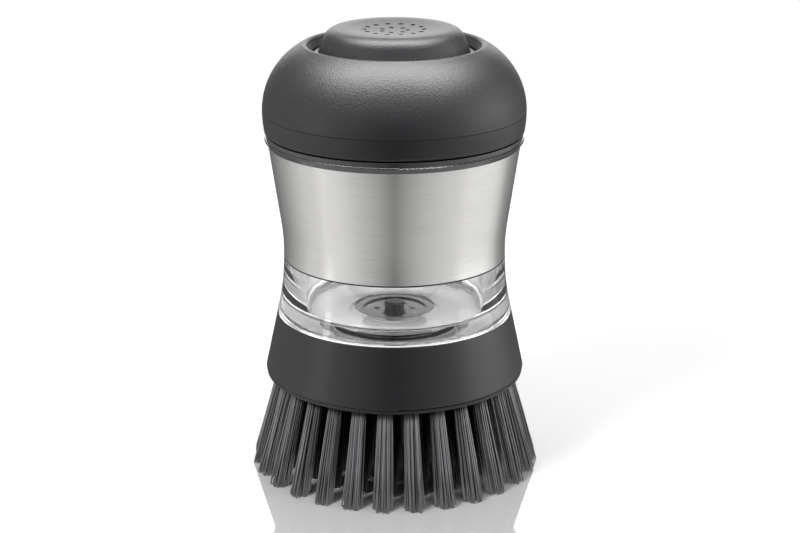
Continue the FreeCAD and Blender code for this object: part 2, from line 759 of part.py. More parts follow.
# Gasket under the seat's flange, and the ring pushed onto the seat's skirt from below.
turn(new_body("valve_seal"), "valve_seal", [
    ("seat_hole", "well_low"),
    ("seat_flange_radius", "well_low"),
    ("seat_flange_radius", "seat_low"),
    ("seat_hole", "seat_low"),
])
turn(new_body("seat_retainer"), "retainer", [
    ("seat_radius + press_clear", "floor_low - retainer_height"),
    ("retainer_radius", "floor_low - retainer_height"),
    ("retainer_radius", "floor_low"),
    ("seat_radius + press_clear", "floor_low"),
])

# Steel sleeve: one thin wall of even thickness, from the ledge up to the neck ring.
turn(new_body("steel_sleeve"), "sleeve", [
    ("sleeve_low_radius", "ledge"),
    ("waist_radius", "ledge + waist_height"),
    ("arc", "flare_arc_radius", "left"),
    ("flare_radius", "ledge + flare_height"),
    ("sleeve_top_radius", "sleeve_top"),
    ("sleeve_top_radius - sleeve_wall", "sleeve_top"),
    ("flare_radius - sleeve_wall", "ledge + flare_height"),
    ("arc", "flare_arc_radius + sleeve_wall", "right"),
    ("waist_radius - sleeve_wall", "ledge + waist_height"),
    ("sleeve_low_radius - sleeve_wall", "ledge"),
])

# Neck ring: bevelled flange with a bead and a set-back band over the sleeve's top edge, plug in the
# vessel's mouth and threaded neck.
neck = turn(new_body("neck_ring"), "neck", [
    ("vessel_radius + neck_clear", "sleeve_top"),
    ("sleeve_top_radius", "sleeve_top"),
    ("neck_flange_radius", "neck_bevel_top"),
    ("neck_flange_radius", "neck_bead_top", "neck_bead_round"),
    ("neck_band_radius", "neck_bead_top"),
    ("neck_band_radius", "neck_band_top", "neck_band_round"),
    ("neck_radius", "neck_band_top"),
    ("neck_radius", "neck_top"),
    ("neck_bore", "neck_top"),
    ("neck_bore", "vessel_top - neck_plug_depth"),
    ("cavity_top_radius - neck_clear", "vessel_top - neck_plug_depth"),
    ("cavity_top_radius - neck_clear", "vessel_top"),
    ("vessel_radius + neck_clear", "vessel_top"),
])
ridges(neck, "neck_ridge", "neck_radius - thread_bed", "neck_radius + thread_depth",
       "thread_root", "thread_crest", "neck_ridge")

# Gasket between the rim of the neck and the pump base.
turn(new_body("cap_gasket"), "gasket", [
    ("tray_radius + gasket_clear", "neck_top"),
    ("neck_radius - gasket_edge", "neck_top"),
    ("neck_radius - gasket_edge", "base_low"),
    ("tray_radius + gasket_clear", "base_low"),
])

# Collar: smooth lower band of the knob, cored from below, with the thread inside, a step that centres the
# dome and a skirt that carries the pump base.
collar = turn(new_body("cap_collar"), "collar", [
    ("collar_bore", "collar_low"),
    ("collar_skirt_radius", "collar_low"),
    ("collar_skirt_radius", "collar_low + collar_core_depth"),
    ("collar_skirt_radius + collar_core_width", "collar_low + collar_core_depth"),
    ("collar_skirt_radius + collar_core_width", "collar_low"),
    ("collar_low_radius - collar_edge", "collar_low"),
    ("arc", "collar_edge", "right"),
    ("collar_low_radius", "collar_low + collar_edge"),
    ("arc", "collar_arc_radius", "right"),
    ("dome_radius", "equator - dome_seam_bevel"),
    ("dome_radius - dome_seam_bevel", "equator"),
    ("collar_step_radius", "equator"),
    ("collar_step_radius", "equator + collar_step_height"),
    ("collar_skirt_radius", "equator + collar_step_height"),
    ("collar_skirt_radius", "base_low"),
    ("collar_bore", "base_low"),
])
ridges(collar, "collar_ridge", "neck_radius + thread_clear", "collar_bore + thread_bed",
       "thread_crest", "thread_root", "collar_ridge")
pilot = drill(collar, "pilot_hole", "screw_radius + screw_fit", "base_low",
              "screw_length - base_flange_thick + screw_spare", "screw_circle")
ring(collar, "pilot_holes", [pilot], "screw_count")

# Pump base: flange on the collar's skirt, tray in the neck, ring for the bellows and guide for the stem.
base = turn(new_body("pump_base"), "base", [
    ("guide_bore", "guide_low"),
    ("guide_radius", "guide_low"),
    ("guide_radius", "tray_low"),
    ("tray_radius", "tray_low"),
    ("tray_radius", "base_low"),
    ("base_flange_radius", "base_low"),
    ("base_flange_radius", "base_top"),
    ("tray_bore", "base_top"),
    ("tray_bore", "tray_top"),
    ("cuff_ring_radius", "tray_top"),
    ("cuff_ring_radius", "cuff_low_top"),
    ("cuff_ring_bore", "cuff_low_top"),
    ("cuff_ring_bore", "tray_top"),
    ("guide_radius", "tray_top"),
    ("guide_radius", "guide_top"),
    ("guide_bore", "guide_top"),
])
air_hole = drill(base, "air_hole", "air_hole_radius", "tray_top", "tray_floor + overrun", "air_hole_circle")
ring(base, "air_holes", [air_hole], "air_hole_count")
screw_hole = drill(base, "screw_hole", "screw_radius + screw_clear", "base_top",
                   "base_flange_thick + overrun", "screw_circle")
ring(base, "screw_holes", [screw_hole], "screw_count")

# Screws: round heads on the pump base, shanks in the collar.
screws = new_body("cap_screws")
screw_axis = [("screw_circle", "base_top"), ("screw_circle", "base_top + screw_head_height")]
screw = spin(screws, "Revolution", "screw", axis_sketch(screws, "screw_section", screw_axis, [
    ("screw_circle", "base_top + screw_head_height"),
    ("screw_circle + screw_head_radius", "base_top + screw_head_height", "screw_head_round"),
    ("screw_circle + screw_head_radius", "base_top"),
    ("screw_circle + screw_radius", "base_top"),
    ("screw_circle + screw_radius", "base_top - screw_length"),
    ("screw_circle", "base_top - screw_length"),
]))
ring(screws, "screws", [screw], "screw_count")

# Bellows: a cuff at each end and two folds between them.
turn(new_body("pump_bellows"), "bellows", [
    ("cuff_radius", "tray_top"),
    ("cuff_radius + bellows_wall", "tray_top"),
    ("cuff_radius + bellows_wall", "cuff_low_top"),
    ("bellows_crest_radius", "cuff_low_top + fold_height", "bellows_fold_round"),
    ("bellows_root_radius", "cuff_low_top + fold_height * 2", "bellows_fold_round"),
    ("bellows_crest_radius", "cuff_low_top + fold_height * 3", "bellows_fold_round"),
    ("cuff_radius + bellows_wall", "cuff_high_low"),
    ("cuff_radius + bellows_wall", "rim_low"),
    ("cuff_radius", "rim_low"),
    ("cuff_radius", "cuff_high_low"),
    ("bellows_crest_radius - bellows_fold_wall", "cuff_low_top + fold_height * 3", "bellows_fold_round"),
    ("bellows_root_radius - bellows_fold_wall", "cuff_low_top + fold_height * 2", "bellows_fold_round"),
    ("bellows_crest_radius - bellows_fold_wall", "cuff_low_top + fold_height", "bellows_fold_round"),
    ("cuff_radius", "cuff_low_top"),
])


def helix_point(angle, low, rise):
    """Point and direction of the spring's wire after a turn by an angle."""
    radius = size("spring_radius")
    climb = rise / math.tau
    point = FreeCAD.Vector(radius * math.cos(angle), radius * math.sin(angle), low + climb * angle)
    along = FreeCAD.Vector(-radius * math.sin(angle), radius * math.cos(angle), climb)
    return point, along.normalize()


def arc_through(start, corner, finish):
    """Arc that leaves its start towards a corner and arrives at its end from that corner."""
    weight = (finish - start).Length / 2 / (corner - start).Length
    middle = (start + corner * (2 * weight) + finish) / (2 + 2 * weight)
    return Part.Arc(start, middle, finish).toShape()


def biarc(start, finish):
    """Two arcs that join two points of the helix and share its directions there."""
    (first, leave), (last, arrive) = start, finish
    span = last - first
    both = leave + arrive
    lack = 2 * (1 - leave.dot(arrive))
    reach = (math.sqrt(span.dot(both) ** 2 + lack * span.dot(span)) - span.dot(both)) / lack
    near, far = first + leave * reach, last - arrive * reach
    joint = (near + far) / 2
    return [arc_through(first, near, joint), arc_through(joint, far, last)]


# Return spring: one unbroken round wire, wound by quarter turns between the tray and the carrier.
QUARTERS_PER_TURN = 4
wire = size("spring_wire_radius")
spring_low = size("tray_top + spring_clear + spring_wire_radius")
spring_top = size("rim_low - spring_clear - spring_wire_radius")
spring_rise = (spring_top - spring_low) / size("spring_turns")
quarters = int(size("spring_turns")) * QUARTERS_PER_TURN
stations = [helix_point(math.tau * at / QUARTERS_PER_TURN, spring_low, spring_rise) for at in range(quarters + 1)]
path = Part.Wire([arc for pair in zip(stations, stations[1:]) for arc in biarc(*pair)])
section = Part.Wire(Part.Circle(stations[0][0], stations[0][1], wire).toShape())
spring = doc.addObject("Part::Feature", "return_spring")
spring.Shape = path.makePipeShell([section], True, False)
spring.Placement = FreeCAD.Placement()
pieces.append(spring)
samples = path.discretize(Number=quarters * QUARTERS_PER_TURN * 2)
per_turn = len(samples) // int(size("spring_turns"))
self_gap = min((one - other).Length for at, one in enumerate(samples)
               for other in samples[at + per_turn // 2:]) - 2 * wire
print(f"return_spring: least gap to itself {self_gap:.2f} mm,",
      f"volume {spring.Shape.Volume:.1f} of {math.pi * wire ** 2 * path.Length:.1f} mm3")

# Button carrier: rim that runs in the throat of the dome, plug for the button, ring for the bellows and the
# stem with the groove of its clip. A notch at the back lets air in under the button.
carrier = turn(new_body("button_carrier"), "carrier", [
    ("0", "rim_top"),
    ("plug_radius - plug_wall", "rim_top"),
    ("plug_radius - plug_wall", "plug_top"),
    ("plug_radius", "plug_top"),
    ("plug_radius", "rim_top"),
    ("rim_radius", "rim_top", "rim_round"),
    ("rim_radius", "rim_low"),
    ("cuff_ring_radius", "rim_low"),
    ("cuff_ring_radius", "cuff_high_low"),
    ("cuff_ring_bore", "cuff_high_low"),
    ("cuff_ring_bore", "rim_low"),
    ("stem_radius", "rim_low"),
    ("stem_radius", "groove_top"),
    ("groove_radius", "groove_top"),
    ("groove_radius", "groove_low"),
    ("stem_radius", "groove_low"),
    ("stem_radius", "stem_low + stem_bevel"),
    ("stem_radius - stem_bevel", "stem_low"),
    ("0", "stem_low"),
])
drill(carrier, "inlet_hole", "inlet_stem_radius + inlet_clear", "rim_top", "rim_thick + overrun", "inlet_circle")
for at in range(int(size("inlet_vent_count"))):
    bearing = f"(360 * ({at} + vent_turn_share) / inlet_vent_count)"
    drill(carrier, f"inlet_vent_{at + 1}", "inlet_vent_radius", "rim_top", "rim_thick + overrun",
          f"inlet_circle + inlet_vent_circle * cos{bearing}", f"inlet_vent_circle * sin{bearing}")
whole = carrier.Shape.Volume
vent_section = new_sketch(carrier, "vent_section", "XY_Plane", "plug_top")
outline(vent_section, [
    ("0 - vent_width / 2", "plug_radius - plug_wall - overrun"),
    ("vent_width / 2", "plug_radius - plug_wall - overrun"),
    ("vent_width / 2", "rim_radius + overrun"),
    ("0 - vent_width / 2", "rim_radius + overrun"),
])
vent = carrier.newObject("PartDesign::Pocket", "vent")
vent.Profile = vent_section
vent.setExpression("Length", cells("plug_top - rim_top + vent_depth"))
must_shrink(carrier, whole)

# Retaining clip in the stem's groove, just under the guide: an open ring.
turn(new_body("stem_clip"), "clip", [
    ("groove_radius + clip_clear", "clip_low"),
    ("groove_radius + clip_clear + clip_width", "clip_low"),
    ("groove_radius + clip_clear + clip_width", "clip_top"),
    ("groove_radius + clip_clear", "clip_top"),
], "clip_wrap")

# Air inlet valve: bulb on the carrier, stem through it and a flap below over the vents.
inlet = new_body("air_inlet_valve")
inlet_axis = [("inlet_circle", "rim_low"), ("inlet_circle", "rim_top")]
spin(inlet, "Revolution", "inlet", axis_sketch(inlet, "inlet_section", inlet_axis, [
    ("inlet_circle", "rim_top + inlet_bulb_height"),
    ("inlet_circle + inlet_bulb_radius", "rim_top + inlet_bulb_height"),
    ("inlet_circle + inlet_bulb_radius", "rim_top"),
    ("inlet_circle + inlet_stem_radius", "rim_top"),
    ("inlet_circle + inlet_stem_radius", "rim_low"),
    ("inlet_circle + inlet_flap_radius", "rim_low"),
    ("inlet_circle + inlet_flap_radius", "rim_low - inlet_flap_thick"),
    ("inlet_circle", "rim_low - inlet_flap_thick"),
]))

# Dome: round crown over the collar, rounded lip, and a throat that guides the rim of the button.
turn(new_body("dome_cover"), "dome", [
    ("dome_axis + dome_hollow", "equator"),
    ("dome_radius - dome_seam_bevel", "equator"),
    ("dome_radius", "equator + dome_seam_bevel"),
    ("arc", "dome_arc_radius", "right"),
    ("lip_radius", "lip_height"),
    ("arc", "lip_arc_radius", "right"),
    ("lip_radius - lip_width", "lip_height - lip_drop"),
    ("throat_radius", "throat_top"),
    ("throat_radius", "throat_low"),
    ("throat_outer", "throat_low"),
    ("throat_outer", "throat_root"),
    ("arc", "dome_hollow", "left"),
])

# Button: dished top with two rings of dimples, rounded edge, flared side and a socket for the plug.
button = turn(new_body("push_button"), "button", [
    ("0", "dish_low"),
    ("arc", "dish_arc_radius", "right"),
    ("dish_radius", "button_top"),
    ("button_top_radius", "button_top", "button_round"),
    ("button_low_radius", "rim_top"),
    ("plug_radius + plug_clear", "rim_top"),
    ("plug_radius + plug_clear", "dish_low - button_top_wall"),
    ("0", "dish_low - button_top_wall"),
])
for circle in ("outer", "inner"):
    dimple = drill(button, f"dimple_{circle}", "dimple_radius", "button_top", "dish_depth + dimple_depth",
                   f"dimple_{circle}_circle")
    ring(button, f"dimples_{circle}", [dimple], f"dimple_{circle}_count")

doc.recompute()
for item in doc.Objects:
    if "Invalid" in item.State or "Error" in item.State:
        raise ValueError(f"{item.Label} failed: {item.State}")
for piece in pieces:
    if piece.Shape.isNull() or not piece.Shape.isValid():
        raise ValueError(f"{piece.Label} has no valid shape")
os.makedirs("parts", exist_ok=True)
for piece in pieces:
    piece.Shape.exportStep(f"parts/{piece.Label}.step")
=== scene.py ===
import bpy
import math
import random
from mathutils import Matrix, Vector


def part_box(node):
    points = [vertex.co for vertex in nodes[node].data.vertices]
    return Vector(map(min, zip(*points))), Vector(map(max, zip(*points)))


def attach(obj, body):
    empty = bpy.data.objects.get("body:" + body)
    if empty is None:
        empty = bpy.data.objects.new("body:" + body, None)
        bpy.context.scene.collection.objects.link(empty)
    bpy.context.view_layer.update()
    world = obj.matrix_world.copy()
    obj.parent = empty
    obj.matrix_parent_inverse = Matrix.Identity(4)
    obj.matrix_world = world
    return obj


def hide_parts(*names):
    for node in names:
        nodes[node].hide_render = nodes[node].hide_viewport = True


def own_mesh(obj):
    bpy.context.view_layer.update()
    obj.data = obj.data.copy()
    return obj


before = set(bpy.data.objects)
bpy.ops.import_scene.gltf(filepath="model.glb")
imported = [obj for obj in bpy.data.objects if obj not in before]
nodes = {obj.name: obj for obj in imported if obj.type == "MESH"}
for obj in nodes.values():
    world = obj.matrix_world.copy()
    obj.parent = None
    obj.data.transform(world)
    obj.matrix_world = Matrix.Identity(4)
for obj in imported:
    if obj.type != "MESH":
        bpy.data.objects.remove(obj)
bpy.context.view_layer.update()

# Reservoir: the soap vessel, one thick moulding of clear SAN with polished faces.
# Its foot flares to the width of the brush head, its floor is a shallow funnel, and the steel sleeve
# is slid over its straight wall.
MM = 0.001
CLEAR_TINT = "#F8F8F8"
FROST_COLOUR = "#E6E6E6"
FLOW_WAVE = 9 * MM
FLOW_DEPTH = 0.004 * MM
SPIGOT_BORE = 24.4 * MM
FROST_EDGE = 0.6 * MM
FROST_ROUGHNESS = 0.3
SHADE_SHARE = 0.4
CLEAR_SHARE = 0.4
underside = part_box("seat_retainer")[1].z
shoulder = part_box("brush_shell")[1].z


def linear(code):
    """Linear RGBA of an sRGB hex colour."""
    shares = [int(code[at:at + 2], 16) / 255 for at in (1, 3, 5)]
    return [share / 12.92 if share <= 0.04045 else ((share + 0.055) / 1.055) ** 2.4 for share in shares] + [1]


def add_node(tree, kind, inputs, **settings):
    """Adds a node with its settings. An input is a plain value or the output of another node."""
    node = tree.nodes.new(kind)
    for name, value in settings.items():
        setattr(node, name, value)
    for name, value in inputs.items():
        if isinstance(value, bpy.types.NodeSocket):
            tree.links.new(value, node.inputs[name])
        else:
            node.inputs[name].default_value = value
    return node


def new_material(name):
    """Material with an empty node tree."""
    material = bpy.data.materials.new(name)
    material.use_nodes = True
    material.node_tree.nodes.clear()
    return material, material.node_tree


def dress(material, *names):
    """Gives pieces of the frame their material."""
    for name in names:
        for slot in nodes[name].material_slots:
            slot.material = material


# SAN from a polished mould: water clear, with slow flow waves that bend what shows through it. Under the
# floor and on the spigot the mould is left a little matt, so both look pale. Its shadow is a light one.
clear_san, tree = new_material("clear_san_polished")
where = add_node(tree, "ShaderNodeTexCoord", {})
flow = add_node(tree, "ShaderNodeTexNoise", {
    "Vector": where.outputs["Object"], "Scale": 1 / FLOW_WAVE, "Detail": 1.0})
swell = add_node(tree, "ShaderNodeBump", {"Height": flow.outputs["Fac"], "Distance": FLOW_DEPTH})
place = add_node(tree, "ShaderNodeSeparateXYZ", {"Vector": where.outputs["Object"]})
above_floor = add_node(tree, "ShaderNodeMapRange", {
    "Value": place.outputs["Z"], "From Min": underside, "From Max": underside + FROST_EDGE})
above_spigot = add_node(tree, "ShaderNodeMapRange", {
    "Value": place.outputs["Z"], "From Min": shoulder - FROST_EDGE, "From Max": shoulder})
level = add_node(tree, "ShaderNodeMapping", {"Vector": where.outputs["Object"], "Scale": (1, 1, 0)})
radius = add_node(tree, "ShaderNodeVectorMath", {0: level.outputs["Vector"]}, operation="LENGTH")
beyond = add_node(tree, "ShaderNodeMapRange", {
    "Value": radius.outputs["Value"], "From Min": SPIGOT_BORE, "From Max": SPIGOT_BORE + FROST_EDGE})
within = add_node(tree, "ShaderNodeMath", {0: radius.outputs["Value"], 1: SPIGOT_BORE}, operation="LESS_THAN")
off_floor = add_node(tree, "ShaderNodeMath", {
    0: above_floor.outputs["Result"], 1: beyond.outputs["Result"]}, operation="MAXIMUM")
off_spigot = add_node(tree, "ShaderNodeMath", {
    0: above_spigot.outputs["Result"], 1: within.outputs["Value"]}, operation="MAXIMUM")
polish = add_node(tree, "ShaderNodeMath", {
    0: off_floor.outputs["Value"], 1: off_spigot.outputs["Value"]}, operation="MINIMUM")
haze = add_node(tree, "ShaderNodeMapRange", {
    "Value": polish.outputs["Value"], "To Min": FROST_ROUGHNESS, "To Max": 0.0})
through = add_node(tree, "ShaderNodeMapRange", {"Value": polish.outputs["Value"], "To Min": CLEAR_SHARE})
ray = add_node(tree, "ShaderNodeLightPath", {})
shade = add_node(tree, "ShaderNodeMapRange", {
    "Value": ray.outputs["Is Shadow Ray"], "To Min": 1.0, "To Max": SHADE_SHARE})
tint = add_node(tree, "ShaderNodeMixRGB", {
    "Fac": polish.outputs["Value"], "Color1": linear(FROST_COLOUR), "Color2": linear(CLEAR_TINT)})
clear = add_node(tree, "ShaderNodeBsdfPrincipled", {
    "Base Color": tint.outputs["Color"], "Roughness": haze.outputs["Result"], "IOR": 1.5,
    "Alpha": shade.outputs["Result"], "Transmission Weight": through.outputs["Result"],
    "Normal": swell.outputs["Normal"]})
add_node(tree, "ShaderNodeOutputMaterial", {"Surface": clear.outputs["BSDF"]})
dress(clear_san, "reservoir")

# Outlet valve: a perforated seat of smoky SAN in the floor, held by a ring from below, with a flat
# gasket under its flange. A rubber umbrella closes the holes, and its post stands up in the vessel.
SEAT_COLOUR = "#2C2D2F"
RUBBER_COLOUR = "#0F0F10"
GASKET_COLOUR = "#B9BABB"
ERODED_GRAIN = 0.35 * MM
RUBBER_PIT = 0.015 * MM
CLOUD_SIZE = 11 * MM


def moulded(name, colour, grain, depth, roughness, specular=0.5):
    """Plastic or rubber from an eroded mould: pits of one size and depth, a gloss that follows the pits
    and a tone that clouds slowly over the piece."""
    material, tree = new_material(name)
    where = add_node(tree, "ShaderNodeTexCoord", {})
    pits = add_node(tree, "ShaderNodeTexNoise", {
        "Vector": where.outputs["Object"], "Scale": 1 / grain, "Detail": 3.0})
    cloud = add_node(tree, "ShaderNodeTexNoise", {
        "Vector": where.outputs["Object"], "Scale": 1 / CLOUD_SIZE, "Detail": 2.0})
    tone = add_node(tree, "ShaderNodeMapRange", {
        "Value": cloud.outputs["Fac"], "To Min": 0.86, "To Max": 1.14})
    tint = add_node(tree, "ShaderNodeHueSaturation", {
        "Color": linear(colour), "Value": tone.outputs["Result"]})
    gloss = add_node(tree, "ShaderNodeMapRange", {
        "Value": pits.outputs["Fac"], "To Min": roughness - 0.08, "To Max": roughness + 0.08})
    relief = add_node(tree, "ShaderNodeBump", {"Height": pits.outputs["Fac"], "Distance": depth})
    body = add_node(tree, "ShaderNodeBsdfPrincipled", {
        "Base Color": tint.outputs["Color"], "Roughness": gloss.outputs["Result"],
        "Specular IOR Level": specular, "Normal": relief.outputs["Normal"]})
    add_node(tree, "ShaderNodeOutputMaterial", {"Surface": body.outputs["BSDF"]})
    return material


# SAN with a grey dye: a dark piece that lets a little light through, so the rubber shows inside it.
smoky_san, tree = new_material("smoky_san_clear")
where = add_node(tree, "ShaderNodeTexCoord", {})
flow = add_node(tree, "ShaderNodeTexNoise", {"Vector": where.outputs["Object"], "Scale": 1 / CLOUD_SIZE})
haze = add_node(tree, "ShaderNodeMapRange", {"Value": flow.outputs["Fac"], "To Min": 0.14, "To Max": 0.26})
smoke = add_node(tree, "ShaderNodeBsdfPrincipled", {
    "Base Color": linear(SEAT_COLOUR), "Roughness": haze.outputs["Result"], "IOR": 1.5,
    "Specular IOR Level": 0.3, "Transmission Weight": 0.3})
add_node(tree, "ShaderNodeOutputMaterial", {"Surface": smoke.outputs["BSDF"]})
dress(smoky_san, "valve_seat", "seat_retainer")
# Silicone rubber: the dark grade of the valve is a little glossier than the pale grade of the gaskets.
dark_silicone = moulded("dark_silicone_rubber", RUBBER_COLOUR, ERODED_GRAIN, RUBBER_PIT, roughness=0.5)
dress(dark_silicone, "outlet_valve")
pale_silicone = moulded("pale_silicone_rubber", GASKET_COLOUR, ERODED_GRAIN, RUBBER_PIT, roughness=0.55)
dress(pale_silicone, "valve_seal")

# Steel sleeve: stainless sheet, rolled to a waist and a flare, then brushed while it turns.
# It stands on the ledge of the vessel, and the neck ring holds it down.
STEEL_COLOUR = "#CBCAC8"
BRUSH_LINE = 0.28 * MM
BRUSH_RUN = 14 * MM
BRUSH_DEPTH = 0.004 * MM
# The sleeve's lowest edge gets a band of painted shade, where it stands on the vessel's ledge.
SLEEVE_FOOT_SHADE_COLOUR = "#2A2A2A"
SLEEVE_FOOT_SHADE_HEIGHT = 0.36 * MM
sleeve_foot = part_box("steel_sleeve")[0].z

# Stainless steel, brushed round the axis: fine lines run round the sleeve, so reflections smear up and
# down and stay crisp sideways. Real lines are finer than a pixel and are drawn coarser here.
brushed_steel, tree = new_material("stainless_steel_brushed_round")
where = add_node(tree, "ShaderNodeTexCoord", {})
lines_at = add_node(tree, "ShaderNodeMapping", {
    "Vector": where.outputs["Object"], "Scale": (1 / BRUSH_RUN, 1 / BRUSH_RUN, 1 / BRUSH_LINE)})
lines = add_node(tree, "ShaderNodeTexNoise", {
    "Vector": lines_at.outputs["Vector"], "Scale": 1.0, "Detail": 3.0, "Roughness": 0.6})
tone = add_node(tree, "ShaderNodeMapRange", {
    "Value": lines.outputs["Fac"], "From Min": 0.25, "From Max": 0.75, "To Min": 0.93, "To Max": 1.05})
tint = add_node(tree, "ShaderNodeHueSaturation", {
    "Color": linear(STEEL_COLOUR), "Value": tone.outputs["Result"]})
place = add_node(tree, "ShaderNodeSeparateXYZ", {"Vector": where.outputs["Object"]})
# Painted shade: a dark band along the sleeve's lowest edge, where it meets the ledge.
in_foot_shade = add_node(tree, "ShaderNodeMath", {
    0: place.outputs["Z"], 1: sleeve_foot + SLEEVE_FOOT_SHADE_HEIGHT}, operation="LESS_THAN")
foot_shaded = add_node(tree, "ShaderNodeMixRGB", {
    "Fac": in_foot_shade.outputs["Value"], "Color1": tint.outputs["Color"], "Color2": linear(SLEEVE_FOOT_SHADE_COLOUR)})
gloss = add_node(tree, "ShaderNodeMapRange", {
    "Value": lines.outputs["Fac"], "To Min": 0.24, "To Max": 0.36})
relief = add_node(tree, "ShaderNodeBump", {"Height": lines.outputs["Fac"], "Distance": BRUSH_DEPTH})
round_axis = add_node(tree, "ShaderNodeTangent", {}, direction_type="RADIAL", axis="Z")
steel = add_node(tree, "ShaderNodeBsdfPrincipled", {
    "Base Color": foot_shaded.outputs["Color"], "Metallic": 1.0, "Roughness": gloss.outputs["Result"],
    "Anisotropic": 0.85, "Anisotropic Rotation": 0.25, "Tangent": round_axis.outputs["Tangent"],
    "Normal": relief.outputs["Normal"]})
add_node(tree, "ShaderNodeOutputMaterial", {"Surface": steel.outputs["BSDF"]})
dress(brushed_steel, "steel_sleeve")

# Neck ring: a moulding of smoky grey SAN over the top edge of the sleeve, with a bevelled flange that
# shows as a thin glossy band, and the thread of the knob inside.
NECK_COLOUR = "#292A2C"
NECK_GRAIN = 0.6 * MM
NECK_PIT = 0.004 * MM
# SAN with a dark dye, from a polished mould: it takes sharp, bright lines of light along its edges.
gloss_san = moulded("smoky_san_gloss", NECK_COLOUR, NECK_GRAIN, NECK_PIT, roughness=0.2, specular=0.9)
dress(gloss_san, "neck_ring")

# Brush head: a tapered shell of charcoal ABS, screwed on from below, closed by the plate that the
# tufts are set in. A rubber ring seals it against the vessel.
SHELL_COLOUR = "#101114"
SHELL_GRAIN = 0.3 * MM
SHELL_PIT = 0.012 * MM
# ABS from a lightly eroded mould: a satin skin that spreads the lights into soft bands.
smooth_abs = moulded("charcoal_abs_satin", SHELL_COLOUR, SHELL_GRAIN, SHELL_PIT, roughness=0.38)
dress(smooth_abs, "brush_shell", "tuft_plate")
dress(pale_silicone, "head_seal")

# Tufts: straight nylon filaments, folded in two over a brass plate at the bottom of each hole and cut
# level at the tips. They spread a little from root to tip, and the cut ends are slightly uneven. The outer
# row is grey and glossy; the inner rows, which stand in shade between its tufts, are painted near black and
# dull as painted shade.
BRISTLE_COLOUR = "#57585B"
INNER_SHADE_COLOUR = "#0B0B0C"
FILAMENT_RADIUS = 0.21 * MM
FILAMENT_SIDES = 6
FILAMENT_STATIONS = (0.0, 0.3, 0.65, 1.0)
TUFT_ROOT_RADIUS = 2.0 * MM
TUFT_TIP_RADIUS = {"outer_tufts": 3.0 * MM, "middle_tufts": 3.4 * MM, "inner_tufts": 3.4 * MM,
                   "centre_tufts": 3.4 * MM}
TUFT_SINK = 2.0 * MM
TIP_UNEVEN = 0.6 * MM
FILAMENT_BOW = 0.16 * MM
FILAMENT_DRIFT = 0.22 * MM
FILAMENT_STREAK = 0.4 * MM
FILAMENT_STREAK_RUN = 12 * MM
SHADE_SPAN = (0.0, 1.9)
TUFTS_PER_ROW = {"outer_tufts": 28, "middle_tufts": 21, "inner_tufts": 14, "centre_tufts": 7}
ROW_RADIUS = {"outer_tufts": 30.4 * MM, "middle_tufts": 23.0 * MM, "inner_tufts": 15.6 * MM,
              "centre_tufts": 8.6 * MM}
ROW_LEAN = {"outer_tufts": 14.5, "middle_tufts": 10.0, "inner_tufts": 6.0, "centre_tufts": 3.0}
ROW_TURN_SHARE = 0.65
row_turn = ROW_TURN_SHARE * math.tau / TUFTS_PER_ROW["outer_tufts"]
plate_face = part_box("tuft_plate")[0].z
chance = random.Random(7)


def add_piece(name, points, faces, material, body):
    """Smooth mesh piece that rides on a body of the frame."""
    mesh = bpy.data.meshes.new(name)
    mesh.from_pydata(points, [], faces)
    mesh.shade_smooth()
    mesh.materials.append(material)
    piece = bpy.data.objects.new(name, mesh)
    bpy.context.scene.collection.objects.link(piece)
    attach(piece, body)
    return piece


def sweep(paths, radius, sides):
    """Points and faces of round rods that follow lists of points, closed at both ends."""
    points, faces = [], []
    for path in paths:
        first = len(points)
        last = len(path) - 1
        for at, spot in enumerate(path):
            ahead = path[min(at + 1, last)] - path[max(at - 1, 0)]
            turn = ahead.to_track_quat("Z", "Y")
            for side in range(sides):
                angle = math.tau * side / sides
                points.append(spot + turn @ Vector((radius * math.cos(angle), radius * math.sin(angle), 0)))
        for at in range(last):
            low = first + at * sides
            for side in range(sides):
                over = (side + 1) % sides
                faces.append((low + side, low + over, low + sides + over, low + sides + side))
        faces.append(tuple(reversed(range(first, first + sides))))
        faces.append(tuple(range(first + last * sides, first + (last + 1) * sides)))
    return points, faces


def packed_spots():
    """Places of the filaments across a tuft's root: close packing inside its circle."""
    pitch = 2 * FILAMENT_RADIUS
    reach = TUFT_ROOT_RADIUS - FILAMENT_RADIUS
    count = int(reach / pitch) + 1
    spots = []
    for row in range(-count, count + 1):
        for place in range(-count, count + 1):
            across = (place + row % 2 / 2) * pitch
            up = row * pitch * math.sqrt(3) / 2
            if math.hypot(across, up) <= reach:
                spots.append((across, up))
    return spots


def filament_path(centre, side, rise, away, lean, tip_radius, across, up):
    """Points of one filament, from inside its hole to its cut end."""
    spread = tip_radius / TUFT_ROOT_RADIUS
    tip_across = across * spread + chance.gauss(0, FILAMENT_DRIFT)
    tip_up = up * spread + chance.gauss(0, FILAMENT_DRIFT)
    most = tip_radius - FILAMENT_RADIUS
    draw_in = min(1, most / math.hypot(tip_across, tip_up))
    tip_across, tip_up = tip_across * draw_in, tip_up * draw_in
    cut = FILAMENT_RADIUS * math.sin(lean) + TIP_UNEVEN * chance.random() ** 2
    reach = (plate_face - cut + tip_up * math.sin(lean)) / math.cos(lean)
    bow_across, bow_up = chance.gauss(0, FILAMENT_BOW), chance.gauss(0, FILAMENT_BOW)
    path = []
    for share in FILAMENT_STATIONS:
        along = share * (reach + TUFT_SINK) - TUFT_SINK
        bow = math.sin(math.pi * share)
        path.append(centre + away * along
                    + side * (across + (tip_across - across) * share + bow_across * bow)
                    + rise * (up + (tip_up - up) * share + bow_up * bow))
    return path


